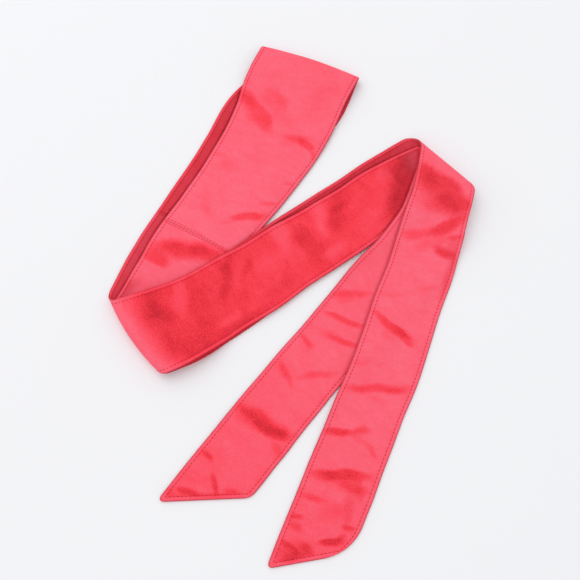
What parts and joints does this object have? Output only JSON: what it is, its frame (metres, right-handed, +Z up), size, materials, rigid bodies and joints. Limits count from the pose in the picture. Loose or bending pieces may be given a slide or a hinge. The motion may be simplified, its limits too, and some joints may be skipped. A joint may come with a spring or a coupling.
{
  "type": "obi belt",
  "caption": "Long soft wrap belt with a wide waist panel and slanted tie ends, doubled, folded in a zigzag and laid flat.",
  "frame": {"origin": "middle of the footprint, on the surface that the belt lies on", "axes": "+Y along the longest side of the footprint, from the tie ends to the doubled end of the waist panel, +Z up off the surface, +X to the right as seen from above with +Y away"},
  "size_m": [0.3704, 0.5397, 0.015],
  "materials": {
    "suedette_panel": "short nap, soft sheen",
    "suedette_front": "short nap, soft sheen",
    "suedette_back": "short nap, soft sheen"
  },
  "bodies": {
    "root": {"waist_panel": "suedette_panel", "tie_front": "suedette_front", "tie_back": "suedette_back"}
  },
  "joints": []
}
